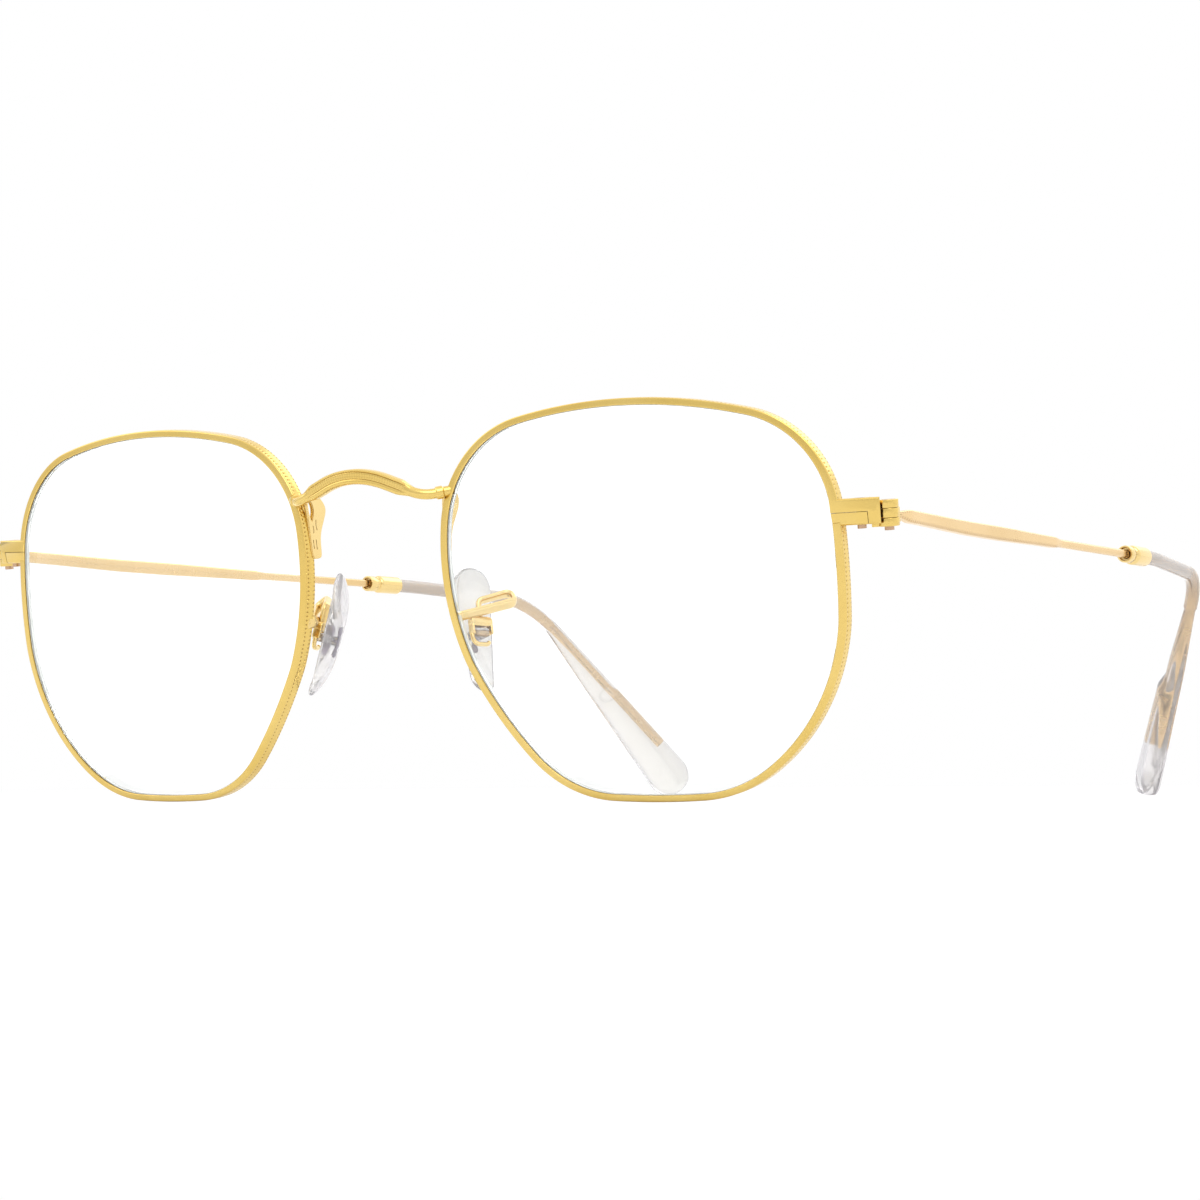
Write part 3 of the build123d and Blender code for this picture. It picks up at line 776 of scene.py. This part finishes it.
def rounded_path(corners, radii, step):
    """Points, directions and travels along the runs and arcs, at about even steps."""
    samples = []
    here = corners[0]
    for corner, following, radius in zip(corners[1:-1], corners[2:], radii):
        before = (corner - here).normalized()
        after = (following - corner).normalized()
        turn = before.angle(after)
        tangent = radius * tan(turn / 2)
        start, end = corner - before * tangent, corner + after * tangent
        samples += straight(here, start, step)
        inward = (after - before * before.dot(after)).normalized()
        count = max(2, ceil(radius * turn / step))
        for place in range(count):
            angle = turn * place / count
            point = start + before * radius * sin(angle) + inward * radius * (1 - cos(angle))
            samples.append((point, before * cos(angle) + inward * sin(angle)))
        here = end
    samples += straight(here, corners[-1], step)
    samples.append((corners[-1], (corners[-1] - here).normalized()))
    travel, path = 0.0, []
    for place, (point, direction) in enumerate(samples):
        if place:
            travel += (point - samples[place - 1][0]).length
        path.append((point, direction, travel))
    return path


def straight(start, end, step):
    run = end - start
    count = max(1, ceil(run.length / step))
    return [(start + run * place / count, run.normalized()) for place in range(count)]


def smooth(share):
    share = min(1.0, max(0.0, share))
    return share * share * (3 - 2 * share)


def between_rows(rows, place):
    """Value at a place in a table of places and values."""
    for (low, low_value), (high, high_value) in zip(rows, rows[1:]):
        if place <= high:
            return low_value + (high_value - low_value) * smooth((place - low) / (high - low))
    return rows[-1][1]


# Bridge

def bridge_path():
    root = nasal_edge(bridge_height) + Vector((-rim_wall / 2, rim_depth / 2, 0))
    shoulder_height = bridge_height - bridge_shoulder_drop
    shoulder = Vector((bridge_shoulder_out, -bridge_shoulder_front, shoulder_height))
    peak = Vector((0, -bridge_peak_front, bridge_height + bridge_peak_rise))
    flip = Vector((-1, 1, 1))
    corners = [root, shoulder, peak, shoulder * flip, root * flip]
    radii = [bridge_shoulder_radius, bridge_peak_radius, bridge_shoulder_radius]
    return rounded_path(corners, radii, band_step)


def bridge_shape():
    path = bridge_path()
    rings = []
    for point, direction, travel in path:
        forward = -(Vector((0, 1, 0)) - direction * direction.y).normalized()
        above = direction.cross(forward)
        if above.z < 0:
            above = -above
        flat = smooth((bridge_band_reach - abs(point.x)) / bridge_band_taper)
        bead = band_bead_height * milling(travel, band_pitch)
        ring = []
        for thick_share, high_share, share, line in band_section_shares:
            thick = thick_share * bridge_band_thickness / 2
            high = high_share * bridge_band_height / 2
            angle = atan2(high, thick)
            round_thick, round_high = cos(angle) * bridge_wire / 2, sin(angle) * bridge_wire / 2
            place = (
                point
                + forward * (round_thick + (thick + bead * share - round_thick) * flat)
                + above * (round_high + (high - round_high) * flat)
            )
            # Painted shade in the engraved lines and between the beads
            recess = max(line, band_dot_share * share * (1 - milling(travel, band_pitch) ** 2))
            ring.append((*place, recess * flat))
        rings.append(ring)
    collars = []
    for place in (bridge_collar_place, path[-1][2] - bridge_collar_place):
        point, direction, _ = min(path, key=lambda sample: abs(sample[2] - place))
        collars.append(turned(point, direction, bridge_collar_rows))
    return joined(skin(rings), *collars)


def turned(origin, direction, rows):
    """Turned shape about an axis, from rows of place along it and radius."""
    side = direction.orthogonal().normalized()
    other = direction.cross(side)
    rings = []
    for along, radius in rows:
        centre = origin + direction * along
        circle = rounded_square(circle_power, collar_round)
        rings.append([centre + (side * x + other * y) * radius for x, y in circle])
    return skin(rings)


# Feet under the bridge: a stamped plate with a slot, engraved on the side towards the nose

def curve_loops(loops, thickness, bevel):
    """Flat plate with holes, from closed loops of points that are joined smoothly or straight."""
    curve = bpy.data.curves.new("loops", "CURVE")
    curve.dimensions = "2D"
    curve.fill_mode = "BOTH"
    curve.extrude = thickness / 2
    curve.bevel_depth = bevel
    curve.bevel_resolution = 2
    for loop in loops:
        spline = curve.splines.new("NURBS")
        spline.points.add(len(loop) - 1)
        for point, (x, y) in zip(spline.points, loop):
            point.co = (x, y, 0, 1)
        spline.use_cyclic_u = True
        spline.order_u = 3
        spline.resolution_u = 6
    shape = bpy.data.objects.new("loops", curve)
    bpy.context.scene.collection.objects.link(shape)
    mesh = bpy.data.meshes.new_from_object(shape)
    points = [vertex.co.copy() for vertex in mesh.vertices]
    faces = [tuple(face.vertices) for face in mesh.polygons]
    bpy.data.objects.remove(shape)
    bpy.data.curves.remove(curve)
    bpy.data.meshes.remove(mesh)
    return points, faces


def slot_loop(x, low, high, bow):
    """Narrow slot that runs up the plate, bowed sideways at its middle."""
    width = foot_line_width
    middle = (low + high) / 2
    left = [(x - width, low), (x - width / 2 + bow, middle), (x - width, high)]
    right = [(x + width, high), (x + width / 2 + bow, middle), (x + width, low)]
    return left + right


def foot_shape():
    """Plate with a thin face on it, whose engraved lines are closed by a floor of painted shade.
    """
    face_out = foot_thickness / 2 + foot_bevel
    slots = [slot_loop(*line) for line in foot_lines]
    plate = curve_loops([foot_outline, foot_hole], foot_thickness, foot_bevel)
    face = curve_loops([foot_outline, foot_hole, *slots], foot_face_thickness, foot_face_bevel)
    shapes = []
    for (points, faces), proud in ((plate, 0.0), (face, face_out)):
        placed = []
        for point in points:
            out = between_rows(foot_outs, point.y)
            placed.append(Vector((out - proud - point.z, point.x, point.y)))
        shapes.append((placed, faces))
    for slot in slots:
        # Each slot is closed by a floor in painted shade
        rings = []
        for out in (face_out, face_out + foot_face_bevel):
            rings.append([(between_rows(foot_outs, z) - out, y, z, 1.0) for y, z in slot])
        shapes.append(skin(rings))
    return joined(*shapes)


# Temples

bend_corner = Vector((-bend_in, bend_back, -bend_down))
tip_end = Vector((-tip_end_in, tip_end_back, -tip_end_down))
drop = (tip_end - bend_corner).normalized()
drop_length = (tip_end - bend_corner).length
core_end = drop_length - core_short


def wire_path(start, end, step):
    corners = [
        Vector((0, start, 0)), Vector((0, ferrule_end + tip_lead, 0)),
        bend_corner, bend_corner + drop * end,
    ]
    return rounded_path(corners, [ferrule_bend_radius, bend_radius], step)


def level_axes(direction):
    """Directions square to a run, the one nearest to sideways and the other above it."""
    sideways = (Vector((1, 0, 0)) - direction * direction.x).normalized()
    return sideways, sideways.cross(direction)


def wire_axes(direction):
    """Directions across the wire: the paddle's width and, square to it, its thickness."""
    sideways, above = level_axes(direction)
    across = Vector((1, 0, 0)).cross(drop).normalized()
    turn = Matrix.Rotation(radians(paddle_turn), 3, drop)
    level, upward = level_axes(drop)
    angle = atan2((turn @ across).dot(upward), (turn @ across).dot(level))
    return sideways * cos(angle) + above * sin(angle), sideways * sin(angle) - above * cos(angle)


def arm_shape():
    """Milled bar that necks down to a round wire and ends in a flat blade inside the tip."""
    rings = []
    half = arm_thickness / 2
    bar_length = arm_flat_end + arm_neck - arm_start
    bar_steps = round(bar_length / milling_pitch) * milling_steps
    for step in range(bar_steps + 1):
        along = arm_start + bar_length * step / bar_steps
        top = between_rows(arm_heights, along) / 2
        widening = smooth((along - arm_start) / (arm_heights[1][0] - arm_start))
        narrow = arm_root_share + (1 - arm_root_share) * widening
        neck = smooth((along - arm_flat_end) / arm_neck)
        bead = arm_bead_height * milling(along) * (1 - neck)
        lift = between_rows(arm_lifts, along)
        rings.append(arm_ring(along, half * narrow, top, bead, neck, lift))
    path = wire_path(arm_flat_end + arm_neck, core_end, wire_step)
    length = path[-1][2]
    for point, direction, travel in path[1:]:
        width, thick = wire_axes(direction)
        flat = smooth((travel - length + core_flat_length) / core_flat_taper)
        # Painted shade darkens the wire inside the tip
        shade = core_shade * smooth((travel - length + core_shade_length) / tip_lead)
        wide = wire_radius + (core_flat_width / 2 - wire_radius) * flat
        deep = wire_radius + (core_flat_thickness / 2 - wire_radius) * flat
        sideways, above = level_axes(direction)
        ring = []
        for x, z in arm_round:
            place = sideways * x + above * z
            spot = point + width * place.dot(width) * wide + thick * place.dot(thick) * deep
            ring.append((*(arm_frame @ spot), shade))
        rings.append(ring)
    return skin(rings)


def arm_outline(half, top):
    scale = half / (arm_thickness / 2)
    upper = [(half - inset * scale, top - dropped, bead) for inset, dropped, bead in arm_section]
    outer = upper + [(x, -z, bead) for x, z, bead in reversed(upper)]
    near, low = arm_inner_inset - half, arm_inner_drop - top
    return outer + [(near, -top, 0), (-half, low, 0), (-half, -low, 0), (near, top, 0)]


arm_round = []
for arm_x, arm_z, _ in arm_outline(arm_thickness / 2, arm_heights[-1][1] / 2):
    arm_round.append(Vector((arm_x, arm_z)).normalized())


def arm_ring(along, half, top, bead, neck, lift):
    ring = []
    for (x, z, share), circle in zip(arm_outline(half, top), arm_round):
        proud = Vector((1, 1 if z > 0 else -1)).normalized() * bead * share
        flat = Vector((x, z + lift)) + proud
        place = flat.lerp(circle * wire_radius, neck)
        # Painted shade between the beads
        recess = share * (1 - neck) * (1 - milling(along) ** 2)
        ring.append((*(arm_frame @ Vector((place.x, along, place.y))), recess))
    return ring


def paddle_sides(down):
    """Edges of the paddle at a distance below the bend, across its width from the wire's axis."""
    low, high = [], []
    start = (0, paddle_start, paddle_neck_radius)
    end = (paddle_shift, drop_length - paddle_radius, paddle_radius)
    for step in range(paddle_steps + 1):
        share = step / paddle_steps
        middle, place, radius = (a + (b - a) * share for a, b in zip(start, end))
        if abs(down - place) < radius:
            reach = sqrt(radius ** 2 - (down - place) ** 2)
            low.append(middle - reach)
            high.append(middle + reach)
    return (min(low), max(high)) if low else None


def tip_ring(point, direction, low, high, back, front, power):
    """Rounded ring across the tip, between the edges of its width and the faces of its depth."""
    width, thick = wire_axes(direction)
    centre = point + width * (low + high) / 2
    ring = []
    for x, y in rounded_square(power, tip_round):
        deep = front if y > 0 else back
        ring.append(arm_frame @ (centre + width * x * (high - low) / 2 + thick * y * deep))
    return ring


def tip_shape():
    """Clear tube round the wire that widens below the ear to a paddle with a thicker cheek."""
    end = drop_length - tip_blunt
    path = wire_path(ferrule_end, end, tip_step)
    length = path[-1][2]
    rings = []
    for point, direction, travel in path:
        down = end - (length - travel)
        low, high, back, front, power = -tip_radius, tip_radius, tip_radius, tip_radius, tip_power
        if down > paddle_start:
            low, high = paddle_sides(down)
            if down <= drop_length - paddle_radius:
                low, high = min(low, -tip_radius), max(high, tip_radius)
            narrow = sqrt(min(1.0, (high - low) / paddle_edge_reach))
            cheek = smooth((down - cheek_start) / cheek_step)
            back = paddle_neck_radius * narrow
            front = (paddle_neck_radius + (cheek_thickness - paddle_neck_radius) * cheek) * narrow
            squareness = smooth((down - paddle_start) / (cheek_start - paddle_start))
            power = tip_power + (paddle_power - tip_power) * squareness
        ring = tip_ring(point, direction, low, high, back, front, power)
        frost = tip_frost * smooth((tip_frost_end - travel) / tip_lead)
        rings.append([(*spot, frost) for spot in ring])
    return skin(rings)


# Nose pads

def pad_edge_at(angle):
    """Point on the pad's outline: two round ends with straight flanks."""
    direction = Vector((cos(angle), sin(angle)))
    top = Vector((0, pad_length / 2 - pad_top_radius))
    bottom = Vector((0, pad_bottom_radius - pad_length / 2))
    lean = (pad_bottom_radius - pad_top_radius) / (top - bottom).length
    end, radius = (top, pad_top_radius) if direction.y > lean else (bottom, pad_bottom_radius)
    return end + direction * radius


def pad_shape():
    """Cushion with rounded edges, bowed about the nose, and the stem on its back."""
    rings = []
    levels = [sin(pi / 2 * row / pad_rows) for row in range(pad_rows + 1)]
    for sign, shares in ((-1, levels[1:]), (1, levels[-2:0:-1])):
        for share in shares:
            thick = (1 - share ** pad_edge_power) ** (1 / pad_face_power) * pad_thickness / 2
            ring = []
            for step in range(pad_round):
                place = pad_edge_at(2 * pi * step / pad_round) * share
                bow = place.length_squared / (2 * pad_curve)
                ring.append(pad_frame @ Vector((place.x, place.y, bow + sign * thick)))
            rings.append(ring)
    stem_rings = []
    for along, size in stem_rows:
        ring = []
        for x, y in rounded_square(stem_power, stem_round):
            across, up = x * size * stem_width / 2, y * size * stem_height / 2 - stem_drop
            ring.append(pad_frame @ Vector((across, up, along)))
        stem_rings.append(ring)
    return joined(skin(rings), skin(stem_rings))


# Pad arms and pad inserts

def swept(path, tall, half_height, half_thickness, power, rounding):
    """Bar with rounded corners and ends along a path; its half height may follow the travel."""
    rings = []
    before = path[0][1]
    length = path[-1][2]
    for point, direction, travel in path:
        tall = before.rotation_difference(direction) @ tall
        tall = (tall - direction * tall.dot(direction)).normalized()
        side = direction.cross(tall)
        before = direction
        near_end = min(1.0, min(travel, length - travel) / rounding + end_start_share)
        inset = 1 - sqrt(1 - (1 - near_end) ** 2)
        high = half_height(travel) if callable(half_height) else half_height
        high -= inset * rounding
        thick = half_thickness - inset * min(rounding, half_thickness)
        outline = rounded_square(power, bar_round)
        rings.append([point + tall * x * high + side * y * thick for x, y in outline])
    return skin(rings)


def in_pad(*places):
    return [pad_frame @ Vector(place) for place in places]


def pad_bar(start, end, tall, half_height, half_thickness):
    """Short rounded bar between two places on the pad."""
    path = rounded_path(in_pad(start, end), [], bar_step)
    tall = pad_frame.to_3x3() @ Vector(tall)
    return swept(path, tall, half_height, half_thickness, bar_power, bar_rounding)


def ribbon_half_height(travel):
    narrowing = smooth((travel - ribbon_narrowing_start) / ribbon_narrowing_length)
    return ribbon_height / 2 - ribbon_narrowing * narrowing


def pad_arm_shape():
    """Ribbon bent back in a hairpin, down to a box whose pin holds the pad's stem."""
    cheek_out = stem_width / 2 + box_gap + box_wall / 2
    box_foot = stem_height / 2 - stem_drop + box_gap
    middle = box_foot + box_height / 2
    strip_top, roof_top = in_pad((0, ribbon_lift, pin_depth), (0, middle, pin_depth))
    root_height = ribbon_lift - pad_drop - ribbon_height
    knee_out = nasal_edge(root_height).x - rim_wall + ribbon_root_bite
    knee = Vector((knee_out, ribbon_root_back, root_height + ribbon_root_raise))
    far = Vector((ribbon_far_out, ribbon_far_back, strip_top.z - ribbon_far_lower))
    tall = (far - knee).cross(strip_top - knee).normalized()
    aside = tall.cross(far - knee).normalized()
    root = knee - Vector((0, ribbon_foot_length, 0))
    path = rounded_path(
        [root, knee, far, far + aside * ribbon_loop, strip_top, roof_top],
        [ribbon_knee_radius, ribbon_loop_radius, ribbon_loop_radius, ribbon_knee_radius],
        ribbon_step)
    ribbon = swept(
        path, tall, ribbon_half_height, ribbon_thickness / 2, ribbon_power, ribbon_rounding)
    inset = Vector((-ribbon_foot_inset, 0, 0))
    foot = swept(
        rounded_path([root + inset, knee + inset], [], plate_step), Vector((0, 0, 1)),
        ribbon_foot_height / 2, ribbon_foot_thickness / 2, ribbon_foot_power, ribbon_foot_rounding)
    back, front = pin_depth - box_depth / 2, pin_depth + box_depth / 2
    roof = pad_bar(
        (0, middle, back), (0, middle, front), (1, 0, 0), cheek_out + box_wall / 2, box_height / 2)
    cheek_length = stem_height + box_gap
    place = box_foot + box_wall - cheek_length / 2
    cheeks = []
    for side in (-cheek_out, cheek_out):
        cheeks.append(pad_bar(
            (side, place, back), (side, place, front), (0, 1, 0), cheek_length / 2, box_wall / 2))
    pin_ends = in_pad((-cheek_out, -stem_drop, pin_depth), (cheek_out, -stem_drop, pin_depth))
    pin_path = rounded_path(pin_ends, [], pad_pin_step)
    pin = swept(pin_path, tall, pad_pin_radius, pad_pin_radius, circle_power, pad_pin_rounding)
    claw_end = cheek_out - box_wall / 2
    claw_corners = in_pad(
        (-cheek_out, -stem_drop, pin_depth), (-cheek_out, -claw_drop, pin_depth),
        (cheek_out / 2, -claw_drop, pin_depth), (claw_end, box_wall - claw_drop, pin_depth))
    claw_path = rounded_path(claw_corners, [claw_bend, claw_bend / 2], claw_step)
    claw_tall = pad_frame.to_3x3() @ Vector((0, 0, 1))
    claw = swept(claw_path, claw_tall, claw_radius, claw_radius, circle_power, claw_radius)
    return joined(ribbon, foot, roof, *cheeks, pin, claw)


def insert_half_width(travel):
    off_middle = abs(travel - (core_top + core_bottom) / 2)
    return core_waist + (core_half_width - core_waist) * smooth(off_middle - core_waist_reach)


def pad_core_shape():
    """Two rounded tabs with a waist, and a lug that reaches into the pad's stem."""
    path = rounded_path(in_pad((0, -core_bottom, 0), (0, core_top, 0)), [], plate_step)
    across = pad_frame.to_3x3() @ Vector((1, 0, 0))
    plate = swept(path, across, insert_half_width, core_half_thickness, core_power, core_rounding)
    lug_end = (0, -stem_drop, pin_depth - 2 * pad_pin_radius)
    lug = pad_bar((0, -stem_drop, 0), lug_end, (1, 0, 0), core_half_width, core_waist)
    return joined(plate, lug)


# Pieces

add_pair("rim_milled", rim_shape(), front_gold, "front", "rim")
add_pair("lens_pane", lens_shape(), lens_clear, "front", "lens", lens_sharp_angle)
add_piece("bridge_band", bridge_shape(), front_gold, "front", ["bridge"])
add_pair("foot_plate", foot_shape(), pale_gold, "front", "bridge_foot")
add_pair("temple_bar", arm_shape(), temple_gold, "temple", "temple_arm")
add_pair(
    "tip_sleeve", tip_shape(), tip_clear, "temple", "temple_tip", plastic_sharp_angle)
add_pair(
    "pad_cushion", pad_shape(), pad_clear, "pad", "nose_pad", plastic_sharp_angle)
add_pair("pad_hairpin", pad_arm_shape(), pale_gold, "front", "pad_arm")
add_pair("pad_insert", pad_core_shape(), core_metal, "pad", "pad_core")
for word in ("_left", "_right"):
    for node in ("end_piece", "closing_block"):
        add_softened(node + word, front_gold, "front", block_edge)
    add_softened("front_hinge" + word, front_gold, "front")
    for node in ("rim_screw", "hinge_screw"):
        add_softened(node + word, screw_metal, "front")
    add_softened("temple_hinge" + word, front_gold, "temple" + word)
    add_softened("ferrule" + word, pale_gold, "temple" + word)


# Floor, lamps and world

floor_size = 3.0
floor_drop = 0.0001
floor_colour = (0.8, 0.8, 0.8, 1.0)
floor_roughness = 0.9
floor_glow = 0.35
tent_light = 0.5
tent_dark = 0.74
tent_bright = 1.25
tent_bright_side = (0.10, 0.55, 0.83)
tent_dark_reach = -0.9
tent_bright_reach = 0.6
floor_near = 0.12
floor_far = 0.5
# Lamps: place and size in metres, power in watts
lamps = [
    ("key_lamp", (0.35, -0.5, 0.6), 0.5, 1.45),
    ("fill_lamp", (-0.6, -0.3, 0.5), 0.6, 0.75),
    ("back_lamp", (0.1, 0.6, 0.6), 0.6, 1.2),
]


def combined(tree, operation, first, second):
    """Result of a sum with two values or of their comparison, kept between 0 and 1."""
    node = add_node(tree, "ShaderNodeMath", {0: first, 1: second})
    node.operation = operation
    node.use_clamp = True
    return node.outputs[0]


def ray_share(tree, first, second):
    """1 for rays of two named kinds."""
    rays = tree.nodes.new("ShaderNodeLightPath")
    return combined(tree, "MAXIMUM", rays.outputs[first], rays.outputs[second])


def emission(tree, strength):
    return add_node(tree, "ShaderNodeEmission", {"Strength": strength}).outputs[0]


def background(tree, strength):
    inputs = {"Color": (1.0, 1.0, 1.0, 1.0), "Strength": strength}
    return add_node(tree, "ShaderNodeBackground", inputs).outputs[0]


def add_floor():
    """Pale floor that keeps the object's shadow and runs out into the white backdrop."""
    bpy.ops.mesh.primitive_plane_add(size=floor_size, location=(0, 0, -floor_drop))
    floor = bpy.context.object
    floor.name = "floor"
    material, tree, shader = new_material("floor_white")
    set_inputs(tree, shader, {"Base Color": floor_colour, "Roughness": floor_roughness})
    seen = ray_share(tree, "Is Camera Ray", "Is Transmission Ray")
    glow = blended(tree, seen, emission(tree, 0.0), emission(tree, floor_glow))
    lit = add_node(tree, "ShaderNodeAddShader", {0: shader.outputs["BSDF"], 1: glow}).outputs[0]
    place = tree.nodes.new("ShaderNodeTexCoord").outputs["Object"]
    distance = add_node(tree, "ShaderNodeVectorMath", {0: place})
    distance.operation = "LENGTH"
    fade = spread(tree, distance.outputs["Value"], 0.0, 1.0, floor_near, floor_far)
    away = combined(tree, "MULTIPLY", fade, seen)
    shade = blended(tree, away, lit, emission(tree, 1.0))
    tree.links.new(shade, tree.nodes["Material Output"].inputs["Surface"])
    floor.data.materials.append(material)


def add_lamp(name, place, size, power):
    data = bpy.data.lights.new(name, "AREA")
    data.shape = "DISK"
    data.size = size
    data.energy = power
    lamp = bpy.data.objects.new(name, data)
    bpy.context.scene.collection.objects.link(lamp)
    lamp.location = place
    lamp.rotation_euler = (-Vector(place)).to_track_quat("-Z", "Y").to_euler()


def add_world():
    """White tent, which polished metal sees brighter above and behind than low in front."""
    world = bpy.data.worlds.new("studio")
    bpy.context.scene.world = world
    world.use_nodes = True
    tree = world.node_tree
    place = tree.nodes.new("ShaderNodeTexCoord").outputs["Generated"]
    height = add_node(tree, "ShaderNodeVectorMath", {0: place, 1: tent_bright_side})
    height.operation = "DOT_PRODUCT"
    bright = spread(
        tree, height.outputs["Value"], tent_dark, tent_bright, tent_dark_reach, tent_bright_reach)
    polished = ray_share(tree, "Is Glossy Ray", "Glossy Depth")
    lit = blended(tree, polished, background(tree, tent_light), background(tree, bright))
    seen = ray_share(tree, "Is Camera Ray", "Is Transmission Ray")
    straight = combined(tree, "SUBTRACT", seen, polished)
    shade = blended(tree, straight, lit, background(tree, 1.0))
    tree.links.new(shade, tree.nodes["World Output"].inputs["Surface"])


add_floor()
add_world()
for lamp in lamps:
    add_lamp(*lamp)

bpy.context.scene.view_settings.view_transform = "Standard"
